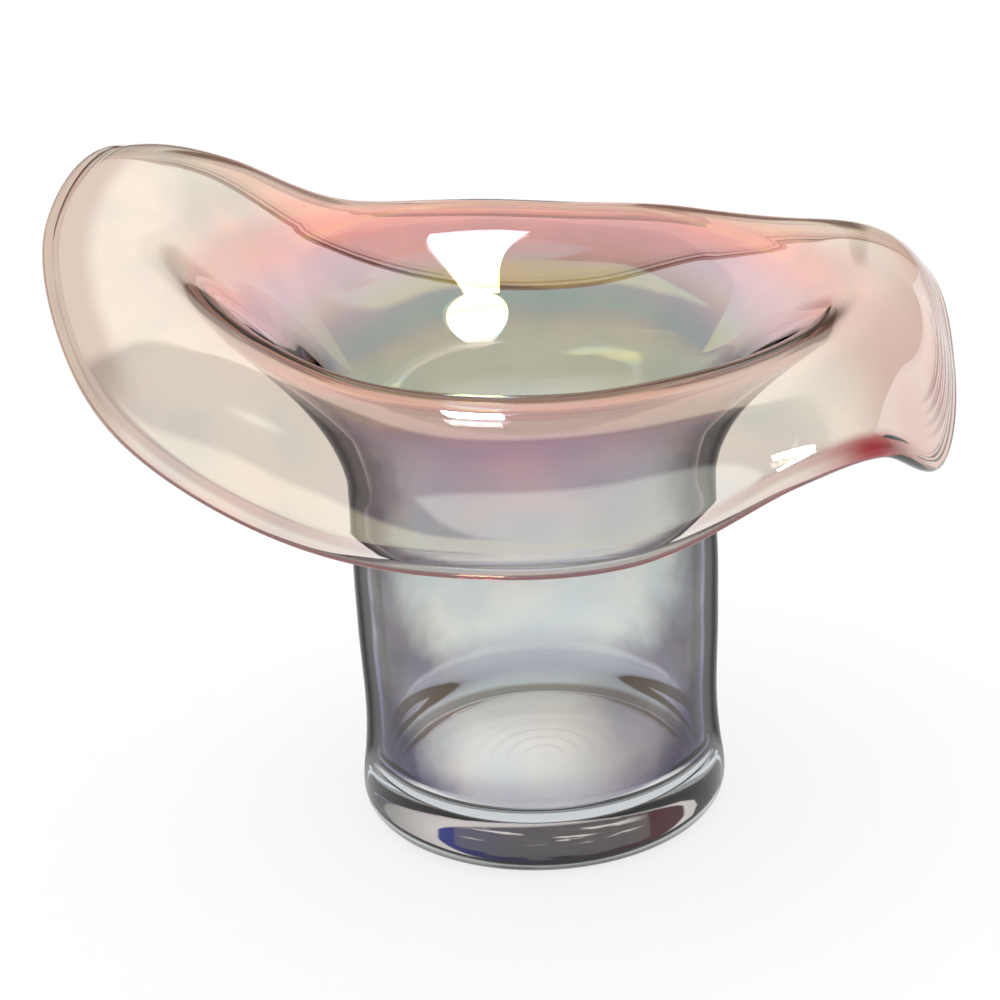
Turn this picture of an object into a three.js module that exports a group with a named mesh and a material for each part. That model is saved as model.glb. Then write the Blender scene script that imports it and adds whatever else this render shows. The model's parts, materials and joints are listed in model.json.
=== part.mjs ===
// Handkerchief vase of blown glass: foot, body wall, flared throat, draped brim and rolled lip.
// Millimetres. +Z is up, +X is towards the tucked corner of the brim, the origin is the middle of the underside.
import * as THREE from "three";

// Foot: a thick disc with a rounded heel, and a rounded corner where its floor meets the wall
const FOOT_RADIUS = 50.4;
const HEEL_WIDTH = 4.4;
const HEEL_HEIGHT = 6;
const FLOOR_THICKNESS = 10;
const CORNER_WIDTH = 10.8;
const CORNER_HEIGHT = 12;
const FOOT_TOP = FLOOR_THICKNESS + CORNER_HEIGHT;

// Body: outside radius at each height, from the heel to the waist, and its wall
const WAIST_HEIGHT = 94;
const BODY_WALL = 4;
const BODY_OUTLINE = [
  { height: HEEL_HEIGHT, radius: FOOT_RADIUS },
  { height: 16, radius: 49.3 },
  { height: FOOT_TOP, radius: 48.8 },
  { height: 54, radius: 49.2 },
  { height: 72, radius: 49.3 },
  { height: 86, radius: 48.7 },
  { height: WAIST_HEIGHT, radius: 48.5 },
];

// Throat and brim: walls, how far the crest spreads beyond the waist, and the handles that shape their curves
const CREST_WALL = 3.4;
const EDGE_WALL = 2.8;
const CREST_SPREAD = 33.5;
const WAIST_HANDLE = 14;
const CREST_INNER_HANDLE = 26;
const RIM_HANDLE = 21;

// Brim stations, evenly spaced from +X, anticlockwise from above.
// Rises are above the waist, and the rim's spread is beyond the crest.
// Slope and pitch are in degrees above the horizontal, going outwards.
const STATIONS = [
  { crestRise: 50, crestSlope: 34, crestHandle: 16, rimSpread: 31, rimRise: 22, rimPitch: -78 },
  { crestRise: 48, crestSlope: 24, crestHandle: 15, rimSpread: 37, rimRise: 39, rimPitch: -58 },
  { crestRise: 48, crestSlope: 4, crestHandle: 13, rimSpread: 33, rimRise: 38, rimPitch: -46 },
  { crestRise: 51, crestSlope: -2, crestHandle: 13, rimSpread: 36, rimRise: 28, rimPitch: -50 },
  { crestRise: 51, crestSlope: -3, crestHandle: 13, rimSpread: 35, rimRise: 17, rimPitch: -55 },
  { crestRise: 53, crestSlope: -2, crestHandle: 13, rimSpread: 35, rimRise: 19, rimPitch: -55 },
  { crestRise: 54.5, crestSlope: 10, crestHandle: 13, rimSpread: 39, rimRise: 35, rimPitch: -45 },
  { crestRise: 55, crestSlope: 32, crestHandle: 15, rimSpread: 42, rimRise: 66, rimPitch: -40 },
  { crestRise: 56, crestSlope: 48, crestHandle: 18, rimSpread: 41, rimRise: 81, rimPitch: -15 },
  { crestRise: 58, crestSlope: 44, crestHandle: 18, rimSpread: 42, rimRise: 72, rimPitch: -5 },
  { crestRise: 57, crestSlope: 45, crestHandle: 20, rimSpread: 40, rimRise: 54, rimPitch: -36 },
  { crestRise: 54, crestSlope: 39, crestHandle: 18, rimSpread: 41, rimRise: 40, rimPitch: -46 },
  { crestRise: 50, crestSlope: 22, crestHandle: 14, rimSpread: 38, rimRise: 27, rimPitch: -50 },
  { crestRise: 48, crestSlope: 10, crestHandle: 13, rimSpread: 43, rimRise: 24, rimPitch: -55 },
  { crestRise: 47.5, crestSlope: 10, crestHandle: 13, rimSpread: 42, rimRise: 24, rimPitch: -55 },
  { crestRise: 48.5, crestSlope: 16, crestHandle: 13, rimSpread: 37, rimRise: 33, rimPitch: -50 },
  { crestRise: 49, crestSlope: 29, crestHandle: 15, rimSpread: 28, rimRise: 27, rimPitch: -70 },
  { crestRise: 49, crestSlope: 33, crestHandle: 15, rimSpread: 28, rimRise: 11, rimPitch: -84 },
];

// Lip: a bead along the rim, round over most of its section
const LIP_RADIUS = 1.9;
const LIP_ANGLES = [120, 80, 40, 0, -40, -80, -120];

// Fineness of the facets
const SECTORS = 72;
const HEEL_STEPS = 4;
const CORNER_STEPS = 5;
const THROAT_STEPS = 7;
const BRIM_STEPS = 8;
const NORMAL_STEP = 1e-4;

// Way along the profile of the throat and brim
const WAIST = 0;
const CREST = 1;
const LIP_START = 1.92;
const RIM = 2;

// Places that follow from the sizes
const UP = new THREE.Vector3(0, 0, 1);
const OUTSIDE = 1;
const INSIDE = -1;
const UNDERSIDE_RADIUS = FOOT_RADIUS - HEEL_WIDTH;
const WAIST_RADIUS = BODY_OUTLINE.find((row) => row.height === WAIST_HEIGHT).radius - BODY_WALL / 2;
const CREST_RADIUS = WAIST_RADIUS + CREST_SPREAD;

function radians(degrees) {
  return THREE.MathUtils.degToRad(degrees);
}

function outwards(turn) {
  const angle = 2 * Math.PI * turn;
  return new THREE.Vector3(Math.cos(angle), Math.sin(angle), 0);
}

// Smooth closed curve through one value of all stations
function stationValue(name, turn) {
  const place = turn * STATIONS.length;
  const index = Math.floor(place);
  const f = place - index;
  const at = (k) => STATIONS[(index + k + STATIONS.length) % STATIONS.length][name];
  const [a, b, c, d] = [at(-1), at(0), at(1), at(2)];
  return 0.5 * (2 * b + (c - a) * f + (2 * a - 5 * b + 4 * c - d) * f ** 2 + (3 * b - a - 3 * c + d) * f ** 3);
}

function direction(degrees) {
  return new THREE.Vector2(Math.cos(radians(degrees)), Math.sin(radians(degrees)));
}

// Reach and height of the middle surface between the waist and the crest
function throatPoint(way, turn) {
  const waist = new THREE.Vector2(WAIST_RADIUS, WAIST_HEIGHT);
  const crest = new THREE.Vector2(CREST_RADIUS, WAIST_HEIGHT + stationValue("crestRise", turn));
  const rise = waist.clone().add(new THREE.Vector2(0, WAIST_HANDLE));
  const before = crest.clone().addScaledVector(direction(stationValue("crestSlope", turn)), -CREST_INNER_HANDLE);
  return new THREE.CubicBezierCurve(waist, rise, before, crest).getPoint(way - WAIST);
}

// Reach and height of the middle surface between the crest and the rim
function brimPoint(way, turn) {
  const crest = throatPoint(CREST, turn);
  const spread = new THREE.Vector2(CREST_RADIUS + stationValue("rimSpread", turn), WAIST_HEIGHT);
  const rim = spread.add(new THREE.Vector2(0, stationValue("rimRise", turn)));
  const crestHandle = stationValue("crestHandle", turn);
  const after = crest.clone().addScaledVector(direction(stationValue("crestSlope", turn)), crestHandle);
  const before = rim.clone().addScaledVector(direction(stationValue("rimPitch", turn)), -RIM_HANDLE);
  return new THREE.CubicBezierCurve(crest, after, before, rim).getPoint(way - CREST);
}

function surfacePoint(way, turn) {
  const point = way <= CREST ? throatPoint(way, turn) : brimPoint(way, turn);
  return outwards(turn).multiplyScalar(point.x).addScaledVector(UP, point.y);
}

function surfaceAlong(way, turn) {
  const ahead = surfacePoint(Math.min(way + NORMAL_STEP, RIM), turn);
  return ahead.sub(surfacePoint(Math.max(way - NORMAL_STEP, WAIST), turn)).normalize();
}

function surfaceNormal(way, turn) {
  const around = surfacePoint(way, turn + NORMAL_STEP).sub(surfacePoint(way, turn + 1 - NORMAL_STEP));
  return around.cross(surfaceAlong(way, turn)).normalize();
}

function wallAt(way) {
  return way <= CREST
    ? THREE.MathUtils.lerp(BODY_WALL, CREST_WALL, way - WAIST)
    : THREE.MathUtils.lerp(CREST_WALL, EDGE_WALL, way - CREST);
}

function ring(pointAt) {
  return Array.from({ length: SECTORS }, (_, sector) => pointAt(sector / SECTORS));
}

function circle(radius, height) {
  return ring((turn) => outwards(turn).multiplyScalar(radius).addScaledVector(UP, height));
}

// Ring on the outside or inside of the throat and brim
function skinRing(way, side) {
  const offset = (side * wallAt(way)) / 2;
  return ring((turn) => surfacePoint(way, turn).addScaledVector(surfaceNormal(way, turn), offset));
}

function steps(from, to, count) {
  return Array.from({ length: count + 1 }, (_, i) => from + ((to - from) * i) / count);
}

// Facets between neighbouring rings. The last ring meets the first with its diagonals turned,
// so that two bodies with a common seam have the same facets there.
function bandFaces(ringCount, bandCount, corner) {
  const faces = [];
  for (let row = 0; row < bandCount; row += 1) {
    const next = (row + 1) % ringCount;
    for (let sector = 0; sector < SECTORS; sector += 1) {
      const [a, b] = [corner(row, sector), corner(row, sector + 1)];
      const [c, d] = [corner(next, sector + 1), corner(next, sector)];
      faces.push(...(next === 0 ? [a, b, d, b, c, d] : [a, b, c, a, c, d]));
    }
  }
  return faces;
}

function meshOf(name, points, faces, colour) {
  const geometry = new THREE.BufferGeometry().setFromPoints(points);
  geometry.setIndex(faces);
  geometry.computeVertexNormals();
  const material = new THREE.MeshStandardMaterial({ color: colour, roughness: 0.05, metalness: 0 });
  const mesh = new THREE.Mesh(geometry, material);
  mesh.name = name;
  return mesh;
}

function cornerOf(row, sector) {
  return row * SECTORS + (sector % SECTORS);
}

// Ring-shaped body: rings in order around its section, the last joined to the first
function hoop(name, rings, colour) {
  return meshOf(name, rings.flat(), bandFaces(rings.length, rings.length, cornerOf), colour);
}

// Bowl-shaped body: rings from the underside's edge to the floor's edge, both closed with a flat disc
function bowl(name, rings, undersideHeight, floorHeight, colour) {
  const points = rings.flat();
  const faces = bandFaces(rings.length, rings.length - 1, cornerOf);
  const underside = points.push(new THREE.Vector3(0, 0, undersideHeight)) - 1;
  const floor = points.push(new THREE.Vector3(0, 0, floorHeight)) - 1;
  const last = rings.length - 1;
  for (let sector = 0; sector < SECTORS; sector += 1) {
    faces.push(underside, cornerOf(0, sector + 1), cornerOf(0, sector));
    faces.push(floor, cornerOf(last, sector), cornerOf(last, sector + 1));
  }
  return meshOf(name, points, faces, colour);
}

// Foot: heel, outside wall, seam with the body, rounded inner corner and floor
function foot() {
  const heel = steps(0, 90, HEEL_STEPS).map((degrees) => {
    const along = direction(degrees);
    return circle(UNDERSIDE_RADIUS + HEEL_WIDTH * along.y, HEEL_HEIGHT * (1 - along.x));
  });
  const side = BODY_OUTLINE.filter((row) => row.height > HEEL_HEIGHT && row.height <= FOOT_TOP);
  const outside = side.map((row) => circle(row.radius, row.height));
  const boreRadius = side[side.length - 1].radius - BODY_WALL;
  const innerCorner = steps(90, 0, CORNER_STEPS).map((degrees) => {
    const along = direction(degrees);
    return circle(boreRadius - CORNER_WIDTH * (1 - along.y), FOOT_TOP - CORNER_HEIGHT * along.x);
  });
  return bowl("foot", [...heel, ...outside, ...innerCorner], 0, FLOOR_THICKNESS, 0xb9b6c6);
}

// Body wall: outside from the foot to the waist, then inside back down
function bodyWall() {
  const rows = BODY_OUTLINE.filter((row) => row.height >= FOOT_TOP && row.height < WAIST_HEIGHT);
  const outside = rows.map((row) => circle(row.radius, row.height));
  const inside = rows.map((row) => circle(row.radius - BODY_WALL, row.height)).reverse();
  const waist = [skinRing(WAIST, OUTSIDE), skinRing(WAIST, INSIDE)];
  return hoop("body_wall", [...outside, ...waist, ...inside], 0xc4c6d0);
}

// Throat flare: from the waist up to the crest
function throatFlare() {
  const ways = steps(WAIST, CREST, THROAT_STEPS);
  const outside = ways.map((way) => skinRing(way, OUTSIDE));
  const inside = ways.map((way) => skinRing(way, INSIDE)).reverse();
  return hoop("throat_flare", [...outside, ...inside], 0xc9a9b1);
}

// Handkerchief brim: from the crest out to the lip
function handkerchiefBrim() {
  const ways = steps(CREST, LIP_START, BRIM_STEPS);
  const outside = ways.map((way) => skinRing(way, OUTSIDE));
  const inside = ways.map((way) => skinRing(way, INSIDE)).reverse();
  return hoop("handkerchief_brim", [...outside, ...inside], 0xf0d6c2);
}

// Rolled lip: the bead that closes the brim's edge
function rolledLip() {
  const bead = LIP_ANGLES.map((degrees) =>
    ring((turn) => {
      const section = direction(degrees).multiplyScalar(LIP_RADIUS);
      return surfacePoint(RIM, turn)
        .addScaledVector(surfaceAlong(RIM, turn), section.x - LIP_RADIUS)
        .addScaledVector(surfaceNormal(RIM, turn), section.y);
    }),
  );
  const rings = [skinRing(LIP_START, OUTSIDE), ...bead, skinRing(LIP_START, INSIDE)];
  return hoop("rolled_lip", rings, 0xd99a98);
}

const vase = new THREE.Group();
vase.name = "handkerchief_vase";
vase.add(foot(), bodyWall(), throatFlare(), handkerchiefBrim(), rolledLip());

export default vase;
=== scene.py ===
"""Looks of the handkerchief vase: lustred glass in five pieces, on a white table in soft studio light."""

import json
import math

import bpy
import numpy as np
from mathutils import Matrix, Vector

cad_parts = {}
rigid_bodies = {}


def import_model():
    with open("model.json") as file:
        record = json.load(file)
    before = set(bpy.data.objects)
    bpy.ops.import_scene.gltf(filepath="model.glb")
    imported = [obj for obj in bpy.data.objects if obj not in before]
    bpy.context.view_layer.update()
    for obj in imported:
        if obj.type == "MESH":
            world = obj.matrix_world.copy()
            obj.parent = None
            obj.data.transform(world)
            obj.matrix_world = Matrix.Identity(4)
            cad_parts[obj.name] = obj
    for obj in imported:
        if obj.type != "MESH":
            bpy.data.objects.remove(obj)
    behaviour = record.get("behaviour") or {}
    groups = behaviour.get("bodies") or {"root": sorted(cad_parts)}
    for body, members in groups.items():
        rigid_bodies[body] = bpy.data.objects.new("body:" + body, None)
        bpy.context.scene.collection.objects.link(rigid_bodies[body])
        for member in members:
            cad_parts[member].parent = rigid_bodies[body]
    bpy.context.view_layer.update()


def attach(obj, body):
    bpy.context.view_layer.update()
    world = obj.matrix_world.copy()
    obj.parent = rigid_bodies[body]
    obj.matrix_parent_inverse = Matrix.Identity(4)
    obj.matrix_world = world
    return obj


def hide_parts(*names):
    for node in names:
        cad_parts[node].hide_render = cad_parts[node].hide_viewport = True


for start_object in list(bpy.data.objects):
    bpy.data.objects.remove(start_object)
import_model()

MM = 0.001

# Foot, in millimetres: a thick disc with a rounded heel and a rounded inner corner
FOOT_RADIUS = 50.4
HEEL_WIDTH = 4.4
HEEL_HEIGHT = 6
FLOOR_THICKNESS = 10
CORNER_WIDTH = 10.8
CORNER_HEIGHT = 12
FOOT_TOP = FLOOR_THICKNESS + CORNER_HEIGHT

# Body: outside radius at each height, and its wall
WAIST_HEIGHT = 94
BODY_WALL = 4
BODY_HEIGHTS = [HEEL_HEIGHT, 16, FOOT_TOP, 54, 72, 86, WAIST_HEIGHT]
BODY_RADII = [FOOT_RADIUS, 49.3, 48.8, 49.2, 49.3, 48.7, 48.5]

# Throat and brim: walls, spread of the crest beyond the waist, and handles of the curves
CREST_WALL = 3.4
EDGE_WALL = 2.8
CREST_SPREAD = 33.5
WAIST_HANDLE = 14
CREST_INNER_HANDLE = 26
RIM_HANDLE = 21

# Brim stations, evenly spaced from +X, anticlockwise from above:
# crest rise above the waist, crest slope, crest handle, rim spread beyond the crest, rim rise, rim pitch
STATIONS = np.array([
    (50, 34, 16, 31, 22, -78),
    (48, 24, 15, 37, 39, -58),
    (48, 4, 13, 33, 38, -46),
    (51, -2, 13, 36, 28, -50),
    (51, -3, 13, 35, 17, -55),
    (53, -2, 13, 35, 19, -55),
    (54.5, 10, 13, 39, 35, -45),
    (55, 32, 15, 42, 66, -40),
    (56, 48, 18, 41, 81, -15),
    (58, 44, 18, 42, 72, -5),
    (57, 45, 20, 40, 54, -36),
    (54, 39, 18, 41, 40, -46),
    (50, 22, 14, 38, 27, -50),
    (48, 10, 13, 43, 24, -55),
    (47.5, 10, 13, 42, 24, -55),
    (48.5, 16, 13, 37, 33, -50),
    (49, 29, 15, 28, 27, -70),
    (49, 33, 15, 28, 11, -84),
], float)

# Lip: a bead along the rim
LIP_RADIUS = 1.9
LIP_TURN = 120

# Fineness of the meshes
SECTORS = 288
HEEL_STEPS = 8
SIDE_STEPS = 8
BODY_STEPS = 20
CORNER_STEPS = 10
FLOOR_STEPS = 12
THROAT_STEPS = 36
BRIM_STEPS = 40
LIP_STEPS = 14
NORMAL_STEP = 1e-4

# Way along the profile of the throat and brim
WAIST = 0
CREST = 1
LIP_START = 1.92
RIM = 2

UNDERSIDE_RADIUS = FOOT_RADIUS - HEEL_WIDTH
WAIST_RADIUS = BODY_RADII[-1] - BODY_WALL / 2
CREST_RADIUS = WAIST_RADIUS + CREST_SPREAD
BORE_RADIUS = BODY_RADII[BODY_HEIGHTS.index(FOOT_TOP)] - BODY_WALL
FLOOR_RADIUS = BORE_RADIUS - CORNER_WIDTH
TURNS = np.arange(SECTORS) / SECTORS


def station_values(turns):
    """Smooth closed curves through the stations: one row per turn, one column per value."""
    count = len(STATIONS)
    place = (turns % 1) * count
    index = np.floor(place).astype(int)
    f = (place - index)[:, None]
    a, b, c, d = (STATIONS[(index + k) % count] for k in (-1, 0, 1, 2))
    return 0.5 * (2 * b + (c - a) * f + (2 * a - 5 * b + 4 * c - d) * f**2 + (3 * b - a - 3 * c + d) * f**3)


def bezier(start, first, second, end, t):
    s = 1 - t
    return s**3 * start + 3 * s**2 * t * first + 3 * s * t**2 * second + t**3 * end


def slope_direction(degrees):
    return np.stack([np.cos(np.radians(degrees)), np.sin(np.radians(degrees))], -1)


def middle_ring(way, turns):
    """Points of the middle surface at one way along the profile."""
    rise, slope, handle, spread, rim_rise, pitch = station_values(turns).T
    crest = np.stack([np.full_like(rise, CREST_RADIUS), WAIST_HEIGHT + rise], -1)
    if way <= CREST:
        waist = np.array([WAIST_RADIUS, WAIST_HEIGHT])
        above = waist + np.array([0, WAIST_HANDLE])
        before = crest - CREST_INNER_HANDLE * slope_direction(slope)
        flat = bezier(waist, above, before, crest, way - WAIST)
    else:
        rim = np.stack([CREST_RADIUS + spread, WAIST_HEIGHT + rim_rise], -1)
        after = crest + handle[:, None] * slope_direction(slope)
        before = rim - RIM_HANDLE * slope_direction(pitch)
        flat = bezier(crest, after, before, rim, way - CREST)
    angle = 2 * np.pi * turns
    return np.stack([flat[:, 0] * np.cos(angle), flat[:, 0] * np.sin(angle), flat[:, 1]], -1)


def unit(vectors):
    return vectors / np.linalg.norm(vectors, axis=-1, keepdims=True)


def along_profile(way):
    ahead = middle_ring(min(way + NORMAL_STEP, RIM), TURNS)
    return unit(ahead - middle_ring(max(way - NORMAL_STEP, WAIST), TURNS))


def across_wall(way):
    around = middle_ring(way, TURNS + NORMAL_STEP) - middle_ring(way, TURNS - NORMAL_STEP)
    return unit(np.cross(around, along_profile(way)))


def skin_ring(way, side):
    """Ring on the outside (side 1) or inside (side -1) of the throat and brim."""
    wall = np.interp(way, [WAIST, CREST, RIM], [BODY_WALL, CREST_WALL, EDGE_WALL])
    return middle_ring(way, TURNS) + across_wall(way) * side * wall / 2


def circle(radius, height):
    angle = 2 * np.pi * TURNS
    return np.stack([radius * np.cos(angle), radius * np.sin(angle), np.full(SECTORS, float(height))], -1)


def body_radius(height):
    """Smooth outside radius through the body's rows, upright at both ends."""
    heights, radii = np.array(BODY_HEIGHTS, float), np.array(BODY_RADII)
    slopes = np.gradient(radii, heights)
    slopes[0] = slopes[-1] = 0
    k = min(np.searchsorted(heights, height, side="right") - 1, len(heights) - 2)
    gap = heights[k + 1] - heights[k]
    f = (height - heights[k]) / gap
    start = (1 + 2 * f) * (1 - f) ** 2 * radii[k] + f * (1 - f) ** 2 * gap * slopes[k]
    return start + f**2 * (3 - 2 * f) * radii[k + 1] + f**2 * (f - 1) * gap * slopes[k + 1]


def heel_rows():
    angles = np.radians(np.linspace(0, 90, HEEL_STEPS + 1))
    return [circle(UNDERSIDE_RADIUS + HEEL_WIDTH * np.sin(a), HEEL_HEIGHT * (1 - np.cos(a))) for a in angles]


def corner_rows():
    angles = np.radians(np.linspace(90, 0, CORNER_STEPS + 1))
    radii = BORE_RADIUS - CORNER_WIDTH * (1 - np.sin(angles))
    heights = FOOT_TOP - CORNER_HEIGHT * np.cos(angles)
    return [circle(radius, height) for radius, height in zip(radii, heights)]


def disc_radii(radius):
    return np.linspace(0, radius, FLOOR_STEPS + 1)[1:]


def lip_rows():
    rim, along, across = middle_ring(RIM, TURNS), along_profile(RIM), across_wall(RIM)
    angles = np.radians(np.linspace(LIP_TURN, -LIP_TURN, LIP_STEPS + 1))
    bead = [rim + along * LIP_RADIUS * (np.cos(a) - 1) + across * LIP_RADIUS * np.sin(a) for a in angles]
    return [skin_ring(LIP_START, 1), *bead, skin_ring(LIP_START, -1)]


def vase_sections():
    """Rings of the whole skin in order, from the middle of the underside up and back down to the floor."""
    side = np.linspace(HEEL_HEIGHT, FOOT_TOP, SIDE_STEPS + 1)
    body = np.linspace(FOOT_TOP, WAIST_HEIGHT, BODY_STEPS + 1)
    throat = np.linspace(WAIST, CREST, THROAT_STEPS + 1)
    brim = np.linspace(CREST, LIP_START, BRIM_STEPS + 1)
    below = [circle(r, 0) for r in disc_radii(UNDERSIDE_RADIUS)]
    floor = [circle(r, FLOOR_THICKNESS) for r in disc_radii(FLOOR_RADIUS)[::-1]]
    return {
        "foot_out": below[:-1] + heel_rows() + [circle(body_radius(h), h) for h in side[1:]],
        "body_out": [circle(body_radius(h), h) for h in body],
        "throat_out": [skin_ring(w, 1) for w in throat],
        "brim_out": [skin_ring(w, 1) for w in brim],
        "lip": lip_rows(),
        "brim_in": [skin_ring(w, -1) for w in brim[::-1]],
        "throat_in": [skin_ring(w, -1) for w in throat[::-1]],
        "body_in": [circle(body_radius(h) - BODY_WALL, h) for h in body[::-1]],
        "foot_in": corner_rows() + floor[1:],
    }


def way_of(section, rows):
    """Place along the profile: -1 at the table, 0 at the waist, 1 at the crest, 2 at the rim."""
    share = np.linspace(0, 1, len(rows))
    if section == "lip":
        return LIP_START + (RIM - LIP_START) * np.sin(np.pi * share)
    if section.startswith("throat"):
        ways = WAIST + (CREST - WAIST) * share
    elif section.startswith("brim"):
        ways = CREST + (LIP_START - CREST) * share
    else:
        return np.array([row[0, 2] / WAIST_HEIGHT - 1 for row in rows])
    return ways[::-1] if section.endswith("_in") else ways


def joined_skin(sections):
    """All rings in one array without doubled seam rings, and each section's first and last ring."""
    rings, spans = [], {}
    for name, rows in sections.items():
        first = max(len(rings) - 1, 0)
        rings += rows[1:] if rings else rows
        spans[name] = slice(first, len(rings))
    return np.array(rings), spans


def skin_normals(rings):
    """Smooth normals over the whole skin, so that no seam shows in the glass."""
    around = np.roll(rings, -1, axis=1) - np.roll(rings, 1, axis=1)
    return unit(np.cross(around, np.gradient(rings, axis=0)))


SKIN = vase_sections()
RINGS, SPANS = joined_skin(SKIN)
NORMALS = skin_normals(RINGS)


def band_faces(first, second):
    """Faces between two rings, given by their row in the piece."""
    here = np.arange(SECTORS)
    following = (here + 1) % SECTORS
    corners = [first * SECTORS + here, first * SECTORS + following]
    corners += [second * SECTORS + following, second * SECTORS + here]
    return np.stack(corners, -1).tolist()


def disc_faces(row, centre):
    here = np.arange(SECTORS)
    following = (here + 1) % SECTORS
    return np.stack([np.full(SECTORS, centre), row * SECTORS + here, row * SECTORS + following], -1)


def skin_values(section_names):
    """Points, normals, ways and sides of the wall on a piece's rings."""
    points = np.concatenate([RINGS[SPANS[s]].reshape(-1, 3) for s in section_names])
    normals = np.concatenate([NORMALS[SPANS[s]].reshape(-1, 3) for s in section_names])
    ways = np.concatenate([np.repeat(way_of(s, SKIN[s]), SECTORS) for s in section_names])
    inside = np.concatenate([np.full(len(SKIN[s]) * SECTORS, s.endswith("_in")) for s in section_names])
    return points, normals, ways, inside


def with_disc_centres(points, normals, ways, inside):
    """The same values, with the middle of the underside and of the floor added."""
    points = np.concatenate([points, [(0, 0, 0), (0, 0, FLOOR_THICKNESS)]])
    normals = np.concatenate([normals, [(0, 0, -1), (0, 0, 1)]])
    ways = np.concatenate([ways, [ways[0], ways[-1]]])
    inside = np.concatenate([inside, [0, 1]])
    return points, normals, ways, inside


def skin_faces(section_names):
    """Faces along each section, and the seams that join one section to the next."""
    faces, seams = [], []
    start = 0
    for name in section_names:
        end = start + len(SKIN[name])
        if start:
            seams += band_faces(start - 1, start)
        for row in range(start, end - 1):
            faces += band_faces(row, row + 1)
        start = end
    return faces, seams


def glass_piece(name, section_names, material, discs):
    """One closed piece cut from the vase's skin. Its seams take the bond, which shows nothing."""
    values = skin_values(section_names)
    faces, seams = skin_faces(section_names)
    count = len(values[0])
    last_row = count // SECTORS - 1
    if discs:
        values = with_disc_centres(*values)
        faces += disc_faces(0, count)[:, ::-1].tolist()
        faces += disc_faces(last_row, count + 1).tolist()
    else:
        seams += band_faces(last_row, 0)
    points, normals, ways, inside = values
    mesh = bpy.data.meshes.new(name)
    mesh.from_pydata((points * MM).tolist(), [], faces + seams)
    mesh.attributes.new("way", "FLOAT", "POINT").data.foreach_set("value", ways.astype(np.float32))
    mesh.attributes.new("inside", "FLOAT", "POINT").data.foreach_set("value", inside.astype(np.float32))
    mesh.materials.append(material)
    mesh.materials.append(BOND)
    mesh.polygons.foreach_set("material_index", [0] * len(faces) + [1] * len(seams))
    mesh.shade_smooth()
    mesh.normals_split_custom_set_from_vertices(normals.tolist())
    piece = bpy.data.objects.new(name, mesh)
    bpy.context.scene.collection.objects.link(piece)
    return piece


# Sockets of the mix node for colours
MIX_FACTOR = 0
MIX_FIRST = 6
MIX_SECOND = 7
MIX_RESULT = 2

# Values that several materials share
NOISE_DETAIL = 2.0
FACING_BLEND = 0.5
WHITE = (1, 1, 1, 1)
BLACK = (0, 0, 0, 1)


def new_tree(name):
    material = bpy.data.materials.new(name)
    material.use_nodes = True
    material.node_tree.nodes.clear()
    return material, material.node_tree


def add(tree, kind, inputs=None, **settings):
    """A shader node with its settings. An input takes a plain value or another node's output."""
    node = tree.nodes.new("ShaderNode" + kind)
    for key, value in settings.items():
        setattr(node, key, value)
    for key, value in (inputs or {}).items():
        if isinstance(value, bpy.types.NodeSocket):
            tree.links.new(value, node.inputs[key])
        else:
            node.inputs[key].default_value = value
    return node


def colour_ramp(tree, factor, stops):
    """A smooth run of colours: pairs of place from 0 to 1 and linear colour."""
    node = add(tree, "ValToRGB", {"Fac": factor})
    elements = node.color_ramp.elements
    while len(elements) > 1:
        elements.remove(elements[-1])
    for index, (place, colour) in enumerate(stops):
        element = elements[0] if index == 0 else elements.new(place)
        element.position = place
        element.color = (*colour, 1)
    return node.outputs["Color"]


def mixed(tree, factor, first, second, blend="MIX"):
    inputs = {MIX_FACTOR: factor, MIX_FIRST: first, MIX_SECOND: second}
    return add(tree, "Mix", inputs, data_type="RGBA", blend_type=blend).outputs[MIX_RESULT]


def smooth_step(tree, value, low, high):
    inputs = {"Value": value, "From Min": low, "From Max": high}
    return add(tree, "MapRange", inputs, interpolation_type="SMOOTHSTEP").outputs["Result"]


def step(tree, places, key, run):
    """A smooth step in one measure, from 0 where the run starts to 1 where it ends."""
    return smooth_step(tree, places[key], *run)


def ranged(tree, value, from_range, low, high):
    inputs = {"Value": value, "To Min": low, "To Max": high}
    inputs["From Min"], inputs["From Max"] = from_range
    return add(tree, "MapRange", inputs).outputs["Result"]


def maths(tree, operation, first, second=0.0):
    return add(tree, "Math", {0: first, 1: second}, operation=operation).outputs[0]


def product(tree, *values):
    result = values[0]
    for value in values[1:]:
        result = maths(tree, "MULTIPLY", result, value)
    return result


def greatest(tree, *values):
    result = values[0]
    for value in values[1:]:
        result = maths(tree, "MAXIMUM", result, value)
    return result


def less(tree, first, second):
    return maths(tree, "SUBTRACT", first, second)


def noise(tree, point, scale, detail=NOISE_DETAIL):
    return add(tree, "TexNoise", {"Vector": point, "Scale": scale, "Detail": detail}).outputs[0]


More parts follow.
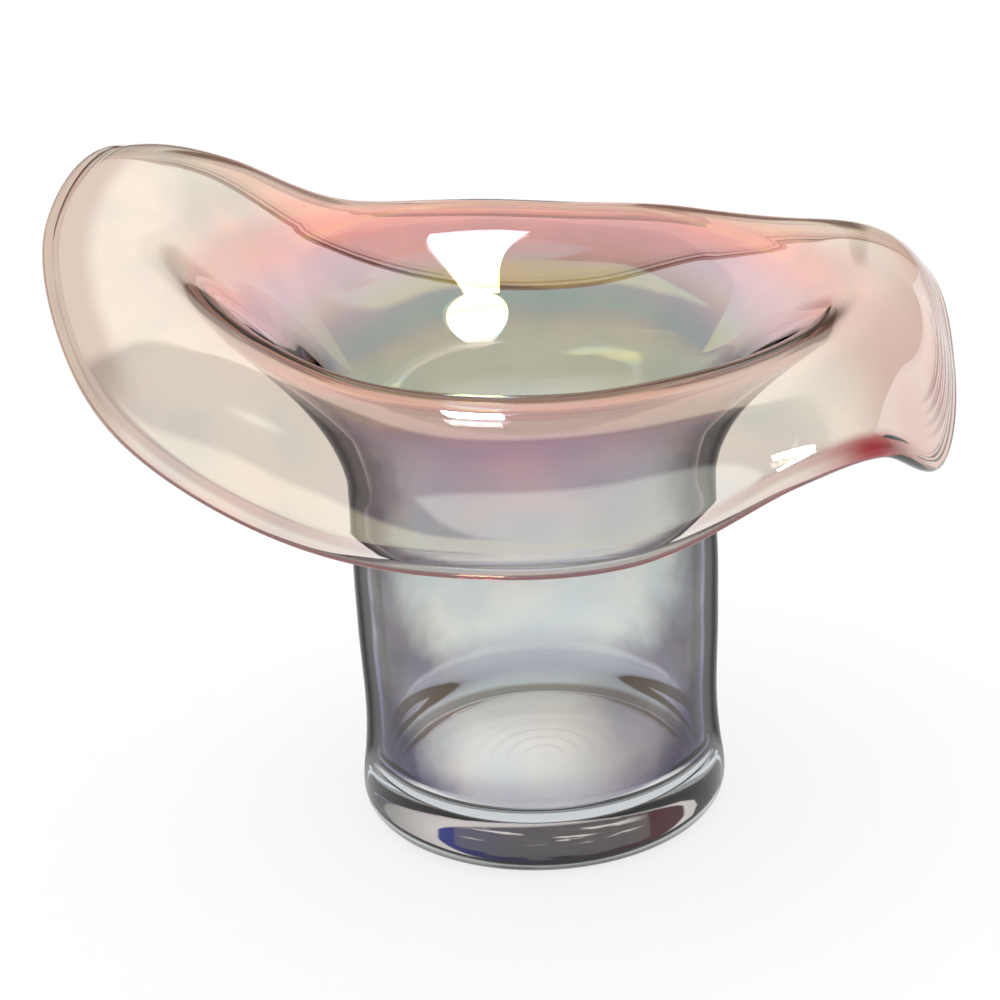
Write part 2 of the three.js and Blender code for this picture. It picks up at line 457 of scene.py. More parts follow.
# Glass colours, linear: what one wall lets through, by way along the profile
WAY_LOW = -1
WAY_SPAN = RIM - WAY_LOW
WALL_TINTS = [
    (-1.0, (0.99, 0.99, 0.99)),
    (-0.893, (0.99, 0.99, 0.98)),
    # The violet dip from -0.875 to -0.78 is painted shade in the inner corner around the floor
    (-0.875, (0.74, 0.71, 0.84)),
    (-0.84, (0.55, 0.51, 0.74)),
    (-0.78, (0.72, 0.70, 0.84)),
    (-0.70, (0.96, 0.98, 1.0)),
    (-0.60, (0.94, 0.97, 0.98)),
    (-0.52, (0.86, 0.88, 0.88)),
    (-0.4, (0.77, 0.79, 0.76)),
    (0.0, (0.75, 0.76, 0.76)),
    (0.3, (0.74, 0.71, 0.78)),
    (0.6, (0.72, 0.57, 0.66)),
    (0.85, (0.80, 0.55, 0.58)),
    (0.97, (1.0, 0.54, 0.49)),
    (1.05, (1.0, 0.56, 0.50)),
    (1.2, (0.95, 0.75, 0.65)),
    (1.4, (0.94, 0.82, 0.69)),
    (1.6, (0.93, 0.84, 0.70)),
    (1.8, (0.93, 0.82, 0.70)),
    (1.9, (0.93, 0.81, 0.70)),
    (1.925, (0.70, 0.49, 0.44)),
    (1.945, (0.94, 0.84, 0.74)),
    (1.985, (0.86, 0.62, 0.57)),
    (2.0, (0.60, 0.22, 0.22)),
]

# Walls seen edge on: their tint by way, partly the longer path through the glass and partly painted shade for
# the dark room they bend and mirror, and the turn from the viewer at which it begins and is full.
# The third share is the turn at which the glass starts to bend and mirror less, so that edges stay dark
EDGE_SHADE_TINTS = [
    (-1.0, (0.04, 0.03, 0.09)),
    (-0.5, (0.04, 0.03, 0.08)),
    (0.0, (0.05, 0.035, 0.06)),
    (0.6, (0.08, 0.035, 0.04)),
    (0.85, (0.16, 0.07, 0.06)),
    (1.0, (0.22, 0.08, 0.06)),
    (2.0, (0.24, 0.08, 0.07)),
]
EDGE_BAND = [
    (-1.0, (0.95, 1.0, 0.8)),
    (-0.84, (0.95, 1.0, 0.7)),
    (-0.76, (0.09, 0.37, 0.6)),
    (-0.62, (0.22, 0.54, 0.6)),
    (-0.48, (0.31, 0.65, 0.6)),
    (-0.2, (0.31, 0.66, 0.6)),
    (0.0, (0.30, 0.64, 0.6)),
    (0.5, (0.38, 0.78, 0.6)),
    (0.8, (0.85, 1.0, 0.85)),
    (0.92, (0.92, 1.0, 0.96)),
    (1.05, (0.92, 1.0, 0.96)),
    (1.2, (0.92, 1.0, 1.0)),
    (2.0, (0.85, 1.0, 1.0)),
]
SOFT_RUN = 0.2
GLASS_INDEX = 1.5
SOFT_INDEX = 1.04

# The edge's border is ragged on the body and the low throat, and paler along the back of the brim
EDGE_RAGGED = 0.08
RAGGED_WAYS = 0.7, 0.4
RAGGED_SCALE = 130
PALE_BACK = 0.05, 0.09
PALE_WAYS = 1.5, 1.8
PALE_SHARE = 0.75

# Lustre film by way: thickness in thousands of nanometres, and how far its index is above the glass
FILM = [
    (-1.0, (0.205, 0.0, 0)),
    (-0.6, (0.205, 0.3, 0)),
    (0.05, (0.205, 0.0, 0)),
    (0.36, (0.218, 0.0, 0)),
    (0.5, (0.216, 0.7, 0)),
    (0.62, (0.200, 0.6, 0)),
    (0.74, (0.186, 0.15, 0)),
    (0.85, (0.174, 0.1, 0)),
    (0.905, (0.174, 0.0, 0)),
    (0.915, (0.242, 0.0, 0)),
    (0.97, (0.242, 0.7, 0)),
    (1.1, (0.242, 0.7, 0)),
    (1.16, (0.242, 0.0, 0)),
    (1.17, (0.066, 0.0, 0)),
    (1.3, (0.066, 0.7, 0)),
    (2.0, (0.066, 0.7, 0)),
]
NANO = 1000

# Painted shade inside the throat, grey-green and heavier at the back, standing in for the dim room seen
# through the back wall
THROAT_SHADE_TINT = (0.46, 0.45, 0.35, 1)
THROAT_SHADE_BACK = -0.05, 0.035
THROAT_SHADE_RISE = -0.1, 0.25
THROAT_SHADE_FALL = 0.85, 0.5

# Blotches of cooler and warmer glass, and the waves left by blowing, which are low above the body
BLOTCH_SCALE = 38
BLOTCH_EDGE = 0.35, 0.65
COOL_BLOTCH = (0.86, 0.92, 0.94, 1)
WARM_BLOTCH = (1.0, 0.99, 0.95, 1)
WAVE_SCALE = 30
WAVE_DETAIL = 0.0
WAVE_HEIGHT = 0.0006
WAVE_RUN = (-0.6, 0.2), 1.0, 0.12

# Pink blush on the right wing, and the tucked corner with dark red in its arch
BLUSH_SPOT = (0.085, -0.030, 0.148)
BLUSH_REACH = 0.058
BLUSH_WAYS = 1.0, 1.1
BLUSH_TINT = (0.82, 0.57, 0.49, 1)
TUCK_PLACE = (0.096, -0.050, 0.118)
TUCK_REACH = 0.048
TUCK_TINT = (0.70, 0.47, 0.39, 1)
ARCH_SPOT = (0.080, -0.074, 0.126)
ARCH_REACH = 0.038
ARCH_WAYS = 1.87, 1.94
ARCH_TINT = (0.30, 0.012, 0.022, 1)
ARCH_LIP = 1.90, 1.925
ARCH_QUIET = 0.8

# Dark red line along the lip, except at the back
LIP_LINE_BACK = 0.05, 0.0
LIP_LINE_WAYS = 1.986, 1.998
LIP_LINE_TINT = (0.10, 0.012, 0.018, 1)

# Pink in the middle of the front crest and flap, and cooler glass at the front of the brim
FRONT_SPOT = (-0.004, -0.098, 0.139)
FRONT_REACH = 0.046
FRONT_TINT = (1.0, 0.72, 0.75, 1)
COOL_SPOT = (-0.002, -0.118, 0.121)
COOL_REACH = 0.060
COOL_TINT = (0.94, 0.96, 0.95, 1)
COOL_WAYS = 1.985, 1.955

# Painted shade at the tips of the slit, where the fold begins on each side
TIP_SPOTS = (-0.073, -0.046, 0.156), (0.071, -0.044, 0.146)
TIP_REACH = 0.030
TIP_LOW = 0.84, 0.92
TIP_HIGH = 1.20, 1.13
TIP_SLANT = 0.36, 0.58
TIP_SHADE_TINT = (0.02, 0.008, 0.005, 1)
TIP_QUIET = 0.0, 0.4

# Salmon along the back of the brim, painted shade along the left rim, and salmon towards the right rim
BACK_SIDE = 0.050, 0.075
BACK_WAYS = 2.05, 1.8
BACK_TINT = (0.98, 0.68, 0.60, 1)
RIM_SIDE = -0.088, -0.102
RIM_WAYS = 1.71, 1.84
RIM_SHADE_TINT = (0.62, 0.49, 0.41, 1)
RIGHT_SIDE = 0.088, 0.104
RIGHT_TINT = (0.78, 0.54, 0.44, 1)

# Brown lines along the right rim
LINE_STEP = 0.045
LINE_WAYS = 1.68, 1.72
LINE_END = 1.90, 1.86
LINE_SIDE = 0.092, 0.100
LINE_EDGE = 0.2, 0.7
LINE_BACK = -0.046, -0.026
LINE_TINT = (0.12, 0.02, 0.015, 1)

# Painted blue-violet shade on the low sides of the body, and in the corner around the floor
LOW_SIDE = 0.030, 0.046
LOW_WAYS = -0.45, -0.66
LOW_SIDE_SHADE_TINT = (0.28, 0.26, 0.42, 1)
CORNER_SIDE = 0.018, 0.034
CORNER_LOW = -0.893, -0.87
CORNER_HIGH = -0.74, -0.79
CORNER_SHADE_TINT = (0.28, 0.25, 0.42, 1)

# The floor's glass, with a painted pool of light left of its middle, and tooling rings in its back half
FLOOR_WAYS = -0.84, -0.88
FLOOR_TINT = (0.62, 0.62, 0.58, 1)
LIGHT_POOL_TINT = (0.99, 0.99, 0.99, 1)
LIGHT_POOL_SPOT = (-0.012, 0.004, 0.010)
LIGHT_POOL_REACH = 0.030
RING_STEP = 0.0045
RING_CREST = 0.2, 1.0
RING_REACH = 0.026, 0.01
RING_BACK = -0.005, 0.01
RING_SHARE = 0.22

# Painted violet shade on the right of the floor, and a lighter painted shade on its left
SHADE_RIGHT = 0.002, 0.026
SHADE_RIGHT_TINT = (0.12, 0.11, 0.16, 1)
SHADE_LEFT = -0.018, -0.032
SHADE_LEFT_TINT = (0.40, 0.43, 0.50, 1)

# Outside of the foot: tint by height, as a share of its band; the near-black band low on the heel is painted
# contact shadow
FOOT_WAYS = -0.74, -0.80
FOOT_BAND = 0.020
FOOT_TINTS_AND_CONTACT_SHADOW = [
    (0.0, (0.98, 0.98, 0.98)),
    # from here to 0.13 the near-black band is painted contact shadow
    (0.012, (0.10, 0.10, 0.10)),
    (0.13, (0.12, 0.12, 0.12)),
    (0.22, (0.58, 0.65, 0.69)),
    (0.5, (0.63, 0.71, 0.76)),
    (0.9, (0.58, 0.65, 0.70)),
    (1.0, (0.85, 0.85, 0.85)),
]

# Painted dark streak in the foot, standing in for the dark room seen bent through the thick glass: a lens
# shape, with its tint from the blue end to the red end
STREAK_TURN = math.radians(-84)
STREAK_SPAN = math.radians(42)
STREAK_HEIGHT = 0.0090
STREAK_HALF = 0.0064
STREAK_THIN = 0.001
STREAK_TINTS = [
    (0.0, (0.0006, 0.002, 0.12)),
    (0.12, (0.0002, 0.0004, 0.03)),
    (0.3, (0.0001, 0.0001, 0.004)),
    (0.5, (0.0004, 0.0002, 0.0006)),
    (0.7, (0.0015, 0.0001, 0.0003)),
    (0.85, (0.006, 0.0001, 0.0004)),
    (1.0, (0.004, 0.0001, 0.0002)),
]
# Its shares: the lens's rim and ends, the dark lower edge, ripples in the upper half, the red and blue ends
STREAK_RIM = 1.0, 0.85
STREAK_END = 1.0, 0.96
STREAK_LOW = -0.3, -0.55
STREAK_WAVER = -0.3, 0.3
STREAK_RIPPLE = 0.57, 0.65
STREAK_HIGH = -0.1, 0.25
STREAK_CORE = 0.98
STREAK_RED = 0.3, 0.65
STREAK_BLUE = -0.5, -0.85
STREAK_STRETCH = (60, 60, 900)
STREAK_SCALE = 1.0
STREAK_DETAIL = 3.0


def by_way(tree, at, tints):
    return colour_ramp(tree, at["share"], [((place - WAY_LOW) / WAY_SPAN, colour) for place, colour in tints])


def skin_places(tree):
    """Where a point of the skin lies: its place, way, side of the wall and turn from the viewer."""
    point = add(tree, "TexCoord").outputs["Object"]
    parts = add(tree, "SeparateXYZ", {0: point}).outputs
    way = add(tree, "Attribute", attribute_name="way").outputs["Fac"]
    return {
        "point": point,
        "x": parts["X"],
        "y": parts["Y"],
        "z": parts["Z"],
        "aside": maths(tree, "ABSOLUTE", parts["X"]),
        "way": way,
        "share": ranged(tree, way, (WAY_LOW, RIM), 0, 1),
        "inside": add(tree, "Attribute", attribute_name="inside").outputs["Fac"],
        "facing": add(tree, "LayerWeight", {"Blend": FACING_BLEND}).outputs["Facing"],
    }


def near(tree, at, spot, reach):
    """1 at a spot, fading to 0 at its reach."""
    gap = add(tree, "VectorMath", {0: at["point"], 1: spot}, operation="DISTANCE").outputs["Value"]
    return smooth_step(tree, gap, reach, 0.0)


# Painted shade: the grey-green patch at the back of the throat
def throat_shade_patch(tree, at):
    throat = product(tree, step(tree, at, "way", THROAT_SHADE_RISE), step(tree, at, "way", THROAT_SHADE_FALL))
    return product(tree, step(tree, at, "y", THROAT_SHADE_BACK), throat)


def blotched(tree, at, wall):
    patch = noise(tree, at["point"], BLOTCH_SCALE)
    shade = mixed(tree, smooth_step(tree, patch, *BLOTCH_EDGE), COOL_BLOTCH, WARM_BLOTCH)
    return mixed(tree, 1.0, wall, shade, "MULTIPLY")


def slit_tip_shade(tree, at):
    """Painted shade on the rolled crest at both ends of the slit, where it is seen slantwise."""
    tips = greatest(tree, *(near(tree, at, spot, TIP_REACH) for spot in TIP_SPOTS))
    crest = product(tree, step(tree, at, "way", TIP_LOW), step(tree, at, "way", TIP_HIGH))
    return product(tree, tips, crest, step(tree, at, "facing", TIP_SLANT))


def rim_lines(tree, at):
    waves = maths(tree, "SINE", product(tree, at["way"], 2 * math.pi / LINE_STEP))
    sides = product(tree, step(tree, at, "x", LINE_SIDE), step(tree, at, "y", LINE_BACK))
    band = product(tree, step(tree, at, "way", LINE_WAYS), step(tree, at, "way", LINE_END))
    return product(tree, smooth_step(tree, waves, *LINE_EDGE), sides, band)


def brim_tints(tree, at, wall):
    """Tints laid on the crest and brim, one over another."""
    blush = product(tree, near(tree, at, BLUSH_SPOT, BLUSH_REACH), step(tree, at, "way", BLUSH_WAYS))
    back = product(tree, step(tree, at, "y", BACK_SIDE), step(tree, at, "way", BACK_WAYS))
    rim = product(tree, step(tree, at, "x", RIM_SIDE), step(tree, at, "way", RIM_WAYS))
    cool = product(tree, near(tree, at, COOL_SPOT, COOL_REACH), step(tree, at, "way", COOL_WAYS))
    lip_line = product(tree, step(tree, at, "y", LIP_LINE_BACK), step(tree, at, "way", LIP_LINE_WAYS))
    arch = product(tree, near(tree, at, ARCH_SPOT, ARCH_REACH), step(tree, at, "way", ARCH_WAYS))
    layers = [
        (blush, BLUSH_TINT),
        (product(tree, back, step(tree, at, "way", BLUSH_WAYS)), BACK_TINT),
        (rim, RIM_SHADE_TINT),
        (step(tree, at, "x", RIGHT_SIDE), RIGHT_TINT),
        (cool, COOL_TINT),
        (near(tree, at, TUCK_PLACE, TUCK_REACH), TUCK_TINT),
        (slit_tip_shade(tree, at), TIP_SHADE_TINT),
        (near(tree, at, FRONT_SPOT, FRONT_REACH), FRONT_TINT),
        (lip_line, LIP_LINE_TINT),
        (arch, ARCH_TINT),
        (rim_lines(tree, at), LINE_TINT),
    ]
    for shown, tint in layers:
        wall = mixed(tree, shown, wall, tint)
    return wall


def body_shades(tree, at, wall):
    """Painted blue-violet shade low on the body and in the corner around the floor."""
    low = product(tree, step(tree, at, "aside", LOW_SIDE), step(tree, at, "way", LOW_WAYS))
    wall = mixed(tree, low, wall, LOW_SIDE_SHADE_TINT)
    corner = product(tree, step(tree, at, "way", CORNER_LOW), step(tree, at, "way", CORNER_HIGH))
    corner = product(tree, corner, step(tree, at, "aside", CORNER_SIDE), at["inside"])
    return mixed(tree, corner, wall, CORNER_SHADE_TINT)


def floor_rings(tree, at):
    squares = (product(tree, at[key], at[key]) for key in ("x", "y"))
    radius = maths(tree, "SQRT", maths(tree, "ADD", *squares))
    waves = maths(tree, "SINE", product(tree, radius, 2 * math.pi / RING_STEP))
    shown = product(tree, smooth_step(tree, radius, *RING_REACH), step(tree, at, "y", RING_BACK))
    return product(tree, smooth_step(tree, waves, *RING_CREST), shown, RING_SHARE)


def floor_tints(tree, at, wall):
    """The floor's glass with its painted pool of light, its rings and the painted shades at its sides."""
    floor = product(tree, step(tree, at, "way", FLOOR_WAYS), at["inside"])
    light_pool = mixed(tree, near(tree, at, LIGHT_POOL_SPOT, LIGHT_POOL_REACH), FLOOR_TINT, LIGHT_POOL_TINT)
    wall = mixed(tree, floor, wall, light_pool)
    wall = mixed(tree, product(tree, floor_rings(tree, at), floor), wall, BLACK)
    wall = mixed(tree, product(tree, step(tree, at, "x", SHADE_RIGHT), floor), wall, SHADE_RIGHT_TINT)
    return mixed(tree, product(tree, step(tree, at, "x", SHADE_LEFT), floor), wall, SHADE_LEFT_TINT)


def streak_depth(tree, at, along, off):
    """How dark the streak is: full on its low edge and at its ends, with pale ripples in its upper half."""
    stretch = {0: at["point"], 1: STREAK_STRETCH}
    stretched = add(tree, "VectorMath", stretch, operation="MULTIPLY").outputs[0]
    ripple = noise(tree, stretched, STREAK_SCALE, STREAK_DETAIL)
    wavering = maths(tree, "ADD", off, ranged(tree, ripple, (0, 1), *STREAK_WAVER))
    light = product(tree, smooth_step(tree, ripple, *STREAK_RIPPLE), smooth_step(tree, off, *STREAK_HIGH))
    core = product(tree, less(tree, 1.0, light), STREAK_CORE)
    red_end = smooth_step(tree, along, *STREAK_RED)
    blue_end = smooth_step(tree, along, *STREAK_BLUE)
    return greatest(tree, smooth_step(tree, wavering, *STREAK_LOW), core, red_end, blue_end)


def painted_dark_streak(tree, at, foot):
    """A painted dark lens-shaped streak, blue at one end and red at the other, standing in for the dark room
    seen through the foot.
    """
    turn = less(tree, maths(tree, "ARCTAN2", at["y"], at["x"]), STREAK_TURN)
    along = maths(tree, "DIVIDE", turn, STREAK_SPAN)
    bow = greatest(tree, less(tree, 1.0, product(tree, along, along)), STREAK_THIN)
    half = product(tree, maths(tree, "SQRT", bow), STREAK_HALF)
    off = maths(tree, "DIVIDE", less(tree, at["z"], STREAK_HEIGHT), half)
    lens = smooth_step(tree, maths(tree, "ABSOLUTE", off), *STREAK_RIM)
    lens = product(tree, lens, smooth_step(tree, maths(tree, "ABSOLUTE", along), *STREAK_END))
    colour = colour_ramp(tree, ranged(tree, along, (-1, 1), 0, 1), STREAK_TINTS)
    return mixed(tree, product(tree, lens, streak_depth(tree, at, along, off)), foot, colour)


def foot_tint(tree, at):
    foot = colour_ramp(tree, ranged(tree, at["z"], (0, FOOT_BAND), 0, 1), FOOT_TINTS_AND_CONTACT_SHADOW)
    return painted_dark_streak(tree, at, foot)


def wall_tint(tree, at):
    """What the wall lets through: its tint by way, and the patches of each part over it, among them painted
    shade and painted light.
    """
    wall = by_way(tree, at, WALL_TINTS)
    wall = mixed(tree, throat_shade_patch(tree, at), wall, THROAT_SHADE_TINT)
    wall = blotched(tree, at, wall)
    wall = brim_tints(tree, at, wall)
    wall = body_shades(tree, at, wall)
    wall = floor_tints(tree, at, wall)
    on_foot = product(tree, less(tree, 1.0, at["inside"]), step(tree, at, "way", FOOT_WAYS))
    return mixed(tree, on_foot, wall, foot_tint(tree, at))


def edge_shaded(tree, at, band, wall):
    """The wall's tint with the dark edge tint, partly painted shade, where the wall is seen edge on."""
    ragged = ranged(tree, noise(tree, at["point"], RAGGED_SCALE), (0, 1), -EDGE_RAGGED, EDGE_RAGGED)
    ragged = product(tree, ragged, step(tree, at, "way", RAGGED_WAYS))
    turned = maths(tree, "ADD", at["facing"], ragged)
    pale = product(tree, step(tree, at, "y", PALE_BACK), step(tree, at, "way", PALE_WAYS), PALE_SHARE)
    edge = product(tree, smooth_step(tree, turned, band["Red"], band["Green"]), less(tree, 1.0, pale))
    return mixed(tree, edge, wall, by_way(tree, at, EDGE_SHADE_TINTS))


def softness(tree, at, band):
    """Where the glass bends and mirrors less: edge on, and in the lip at the arch."""
    edge_on = smooth_step(tree, at["facing"], band["Blue"], maths(tree, "ADD", band["Blue"], SOFT_RUN))
    arch = product(tree, near(tree, at, ARCH_SPOT, ARCH_REACH), step(tree, at, "way", ARCH_LIP), ARCH_QUIET)
    return greatest(tree, edge_on, arch)


def quiet_places(tree, at):
    """Where the lustre film is missing: the right rim, the tucked corner and the tips of the slit."""
    right = step(tree, at, "x", RIGHT_SIDE)
    corner = near(tree, at, TUCK_PLACE, TUCK_REACH)
    arch = near(tree, at, ARCH_SPOT, ARCH_REACH)
    tips = smooth_step(tree, slit_tip_shade(tree, at), *TIP_QUIET)
    return greatest(tree, right, corner, arch, tips)


def blown_waves(tree, at):
    height = noise(tree, at["point"], WAVE_SCALE, WAVE_DETAIL)
    height = product(tree, height, ranged(tree, at["way"], *WAVE_RUN))
    return add(tree, "Bump", {"Height": height, "Distance": WAVE_HEIGHT, "Strength": 1.0}).outputs[0]


def lustre_glass(name):
    """Clear glass with a tinted lustre, darker where the wall is seen edge on, partly by painted shade."""
    material, tree = new_tree(name)
    at = skin_places(tree)
    band = add(tree, "SeparateColor", {0: by_way(tree, at, EDGE_BAND)}).outputs
    film = add(tree, "SeparateColor", {0: by_way(tree, at, FILM)}).outputs
    soft = softness(tree, at, band)
    index = ranged(tree, soft, (0, 1), GLASS_INDEX, SOFT_INDEX)
    bright = less(tree, 1.0, greatest(tree, soft, quiet_places(tree, at)))
    glass = add(tree, "BsdfPrincipled", {
        "Base Color": edge_shaded(tree, at, band, wall_tint(tree, at)),
        "Roughness": 0.0,
        "IOR": index,
        "Transmission Weight": 1.0,
        "Thin Film IOR": maths(tree, "ADD", index, product(tree, film["Green"], bright)),
        "Thin Film Thickness": product(tree, film["Red"], NANO, at["inside"]),
        "Normal": blown_waves(tree, at),
    })
    add(tree, "OutputMaterial", {"Surface": glass.outputs[0]})
    return material


def seam_bond():
    """The seams inside the glass, which show nothing."""
    material, tree = new_tree("seam_bond")
    clear = add(tree, "BsdfTransparent", {"Color": WHITE})
    add(tree, "OutputMaterial", {"Surface": clear.outputs[0]})
    return material


# The five pieces: node, sections of the skin, material slot, and whether discs close it
BOND = seam_bond()
PIECES = [
    ("foot", ["foot_out", "foot_in"], "violet_clear_glass", True),
    ("body_wall", ["body_out", "body_in"], "lavender_glass", False),
    ("throat_flare", ["throat_out", "throat_in"], "mauve_glass", False),
    ("handkerchief_brim", ["brim_out", "brim_in"], "peach_glass", False),
    ("rolled_lip", ["lip"], "pink_glass", False),
]
for node_name, section_names, slot_name, discs in PIECES:
    piece = glass_piece("glass_" + node_name, section_names, lustre_glass(slot_name), discs)
    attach(piece, "root")
    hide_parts(node_name)


# White table, just below the foot
TABLE_DROP = 0.0002
TABLE_HALF = 20
TABLE_COLOUR = (0.26, 0.26, 0.26, 1)
TABLE_GLOW = 0.75
TABLE_ROUGHNESS = 0.9


def white_table():
    material, tree = new_tree("white_table")
    paper = add(tree, "BsdfPrincipled", {
        "Base Color": TABLE_COLOUR,
        "Roughness": TABLE_ROUGHNESS,
        "Specular IOR Level": 0.0,
        "Emission Color": WHITE,
        "Emission Strength": TABLE_GLOW,
    })
    add(tree, "OutputMaterial", {"Surface": paper.outputs[0]})
    signs = [(-1, -1), (1, -1), (1, 1), (-1, 1)]
    corners = [(x * TABLE_HALF, y * TABLE_HALF, -TABLE_DROP) for x, y in signs]
    mesh = bpy.data.meshes.new("white_table")
    mesh.from_pydata(corners, [], [(0, 1, 2, 3)])
    mesh.materials.append(material)
    table = bpy.data.objects.new("white_table", mesh)
    bpy.context.scene.collection.objects.link(table)


white_table()

# Studio light: even light on the table. The camera and the glass see a room instead, given by direction.
# Behind the vase is a backdrop, brighter above, dimmer to the right, with a dim doorway and sill.
# Around it are a pale band of wall, grey sides low down and a bright ceiling on the camera's side
SKY_LIGHT = 1.15
BACKDROP = (0.74, 0.67, 0.60, 1)
BACKDROP_EDGE = 0.35, 0.41
BACKDROP_HIGH = (1.0, 0.82, 0.74, 1)
BACKDROP_RISE = 0.40, 0.52
BACKDROP_RIGHT = (0.45, 0.40, 0.36, 1)
BACKDROP_TURN = 0.35, 0.75
DOORWAY = (0.22, 0.15, 0.12, 1)
DOORWAY_TOP = 0.36, 0.24
DOORWAY_LEFT = 0.035, 0.065
DOORWAY_RIGHT = 0.24, 0.14
SILL_TOP = 0.16, 0.06
CEILING = (0.66, 0.68, 0.68, 1)
CEILING_EDGE = -0.12, -0.18
CEILING_LEAN = 0.12
CEILING_LOW = 0.845, 0.875
SIDES = (0.40, 0.36, 0.44, 1)
SIDES_TOP = 0.30, 0.20
SIDES_FRONT = -0.3, -0.2
WALLS = (0.80, 0.74, 0.60, 1)
WALLS_LEAN = 0.35
WALLS_TOP = 0.715, 0.685
WALLS_FOOT = 0.60, 0.66
ROOM = (0.10, 0.08, 0.10, 1)


def backdrop_colour(tree, ahead):
    backdrop = mixed(tree, step(tree, ahead, "Z", BACKDROP_RISE), BACKDROP, BACKDROP_HIGH)
    doorway = product(tree, step(tree, ahead, "X", DOORWAY_LEFT), step(tree, ahead, "Z", DOORWAY_TOP))
    dim = greatest(tree, doorway, step(tree, ahead, "Z", SILL_TOP))
    dim = product(tree, dim, step(tree, ahead, "X", DOORWAY_RIGHT))
    backdrop = mixed(tree, dim, backdrop, DOORWAY)
    return mixed(tree, step(tree, ahead, "X", BACKDROP_TURN), backdrop, BACKDROP_RIGHT)


def room_colour(tree, ahead):
    leaning = maths(tree, "ADD", ahead["Z"], product(tree, ahead["Y"], WALLS_LEAN))
    walls = product(tree, smooth_step(tree, leaning, *WALLS_TOP), step(tree, ahead, "Z", WALLS_FOOT))
    sides = product(tree, step(tree, ahead, "Z", SIDES_TOP), step(tree, ahead, "Y", SIDES_FRONT))
    around = mixed(tree, walls, mixed(tree, sides, ROOM, SIDES), WALLS)
    around = mixed(tree, step(tree, ahead, "Y", BACKDROP_EDGE), around, backdrop_colour(tree, ahead))
    sloping = maths(tree, "ADD", ahead["Z"], product(tree, ahead["X"], CEILING_LEAN))
    ceiling = product(tree, smooth_step(tree, sloping, *CEILING_LOW), step(tree, ahead, "Y", CEILING_EDGE))
    return mixed(tree, ceiling, around, CEILING)


def studio_world():
    world = bpy.data.worlds.new("studio")
    bpy.context.scene.world = world
    world.use_nodes = True
    tree = world.node_tree
    tree.nodes.clear()
    path = add(tree, "LightPath").outputs
    shiny = maths(tree, "ADD", path["Is Glossy Ray"], path["Is Transmission Ray"])
    looked_at = maths(tree, "ADD", path["Is Camera Ray"], shiny)
    seen = less(tree, looked_at, path["Diffuse Depth"])
    ahead = add(tree, "SeparateXYZ", {0: add(tree, "TexCoord").outputs["Generated"]}).outputs
    shown = add(tree, "Background", {"Color": room_colour(tree, ahead), "Strength": 1.0})
    light = add(tree, "Background", {"Color": WHITE, "Strength": SKY_LIGHT})
    both = add(tree, "MixShader", {0: seen, 1: light.outputs[0], 2: shown.outputs[0]})
    add(tree, "OutputWorld", {"Surface": both.outputs[0]})


studio_world()

# Lamps for the bright reflections. Each has the piece that mirrors it, the spot there and the way to it.
# Its offset lies in the plane that faces the spot. Its lean and spread are in degrees
THROAT_SPOT = Vector((-0.016, 0.052, 0.130))
CREST_SPOT = Vector((-0.012, -0.090, 0.143))
TUCK_SPOT = Vector((0.058, -0.099, 0.131))
WINDOW_WAY = Vector((0.44, -0.55, 0.70))
BACK_WAY = Vector((-0.01, 0.70, 0.71))
RIGHT_WAY = Vector((0.74, 0.17, 0.65))
WINDOW = dict(mirror="glass_throat_flare", spot=THROAT_SPOT, way_to=WINDOW_WAY, distance=1, spread=180)
STRIP = dict(mirror="glass_handkerchief_brim", shape="RECTANGLE", distance=0.25)
LAMPS = {
    "window_low": dict(
        WINDOW, shape="ELLIPSE", offset=(-0.19, -0.42), lean=0,
        size=(0.56, 0.50), radiance=9,
    ),
    "window_high": dict(
        WINDOW, shape="RECTANGLE", offset=(0.02, 0.35), lean=-22,
        size=(0.24, 1.19), radiance=14,
    ),
    "back_strip": dict(
        STRIP, spot=CREST_SPOT, way_to=BACK_WAY, offset=(0, 0), lean=0,
        size=(0.021, 0.026), radiance=12, spread=14,
    ),
    "right_strip": dict(
        STRIP, spot=TUCK_SPOT, way_to=RIGHT_WAY, offset=(-0.010, -0.003), lean=-60,
        size=(0.13, 0.010), radiance=4, spread=70,
    ),
}


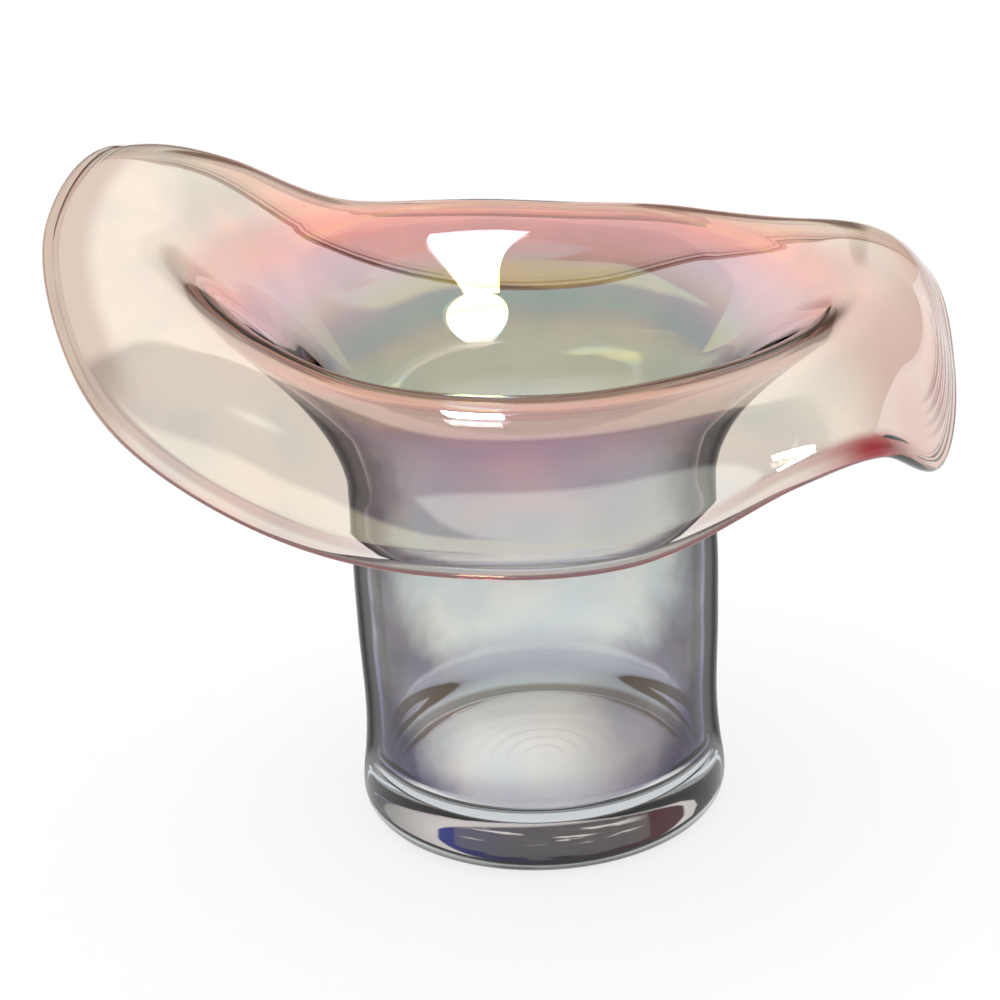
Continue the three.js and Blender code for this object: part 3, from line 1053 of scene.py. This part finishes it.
def mirrored_lamp(name, mirror, shape, spot, way_to, distance, offset, lean, size, radiance, spread):
    data = bpy.data.lights.new(name, "AREA")
    data.shape = shape
    data.size, data.size_y = size
    data.spread = math.radians(spread)
    data.energy = radiance * math.pi * size[0] * size[1]
    ahead = way_to.normalized()
    side = Vector((0, 0, 1)).cross(ahead).normalized()
    up = ahead.cross(side)
    lamp = bpy.data.objects.new(name, data)
    axes = Matrix((side, up, ahead)).transposed().to_4x4() @ Matrix.Rotation(math.radians(lean), 4, "Z")
    lamp.matrix_world = Matrix.Translation(spot + ahead * distance + side * offset[0] + up * offset[1]) @ axes
    lamp.visible_diffuse = False
    receivers = bpy.data.collections.new(name + "_mirror")
    receivers.objects.link(bpy.data.objects[mirror])
    lamp.light_linking.receiver_collection = receivers
    bpy.context.scene.collection.objects.link(lamp)


for lamp_name, lamp_values in LAMPS.items():
    mirrored_lamp(lamp_name, **lamp_values)

# Camera, fitted to the photo
CAMERA_TARGET = Vector((0, 0, 0.1))
CAMERA_DISTANCE = 0.62
CAMERA_ELEVATION = 20.8
CAMERA_ROLL = 2.4
CAMERA_LENS = 83.88
CAMERA_SHIFT = (-0.0311, -0.049)
CAMERA_NEAR = 0.01


def photo_camera():
    data = bpy.data.cameras.new("camera")
    data.lens = CAMERA_LENS
    data.shift_x, data.shift_y = CAMERA_SHIFT
    data.clip_start = CAMERA_NEAR
    camera = bpy.data.objects.new("camera", data)
    bpy.context.scene.collection.objects.link(camera)
    tilt, roll = math.radians(CAMERA_ELEVATION), math.radians(CAMERA_ROLL)
    ahead = Vector((0, math.cos(tilt), -math.sin(tilt)))
    level, upright = Vector((1, 0, 0)), Vector((0, math.sin(tilt), math.cos(tilt)))
    right = level * math.cos(roll) - upright * math.sin(roll)
    up = upright * math.cos(roll) + level * math.sin(roll)
    turn = Matrix((right, up, -ahead)).transposed().to_4x4()
    camera.matrix_world = Matrix.Translation(CAMERA_TARGET - ahead * CAMERA_DISTANCE) @ turn
    bpy.context.scene.camera = camera


photo_camera()
bpy.context.scene.view_settings.view_transform = "Standard"
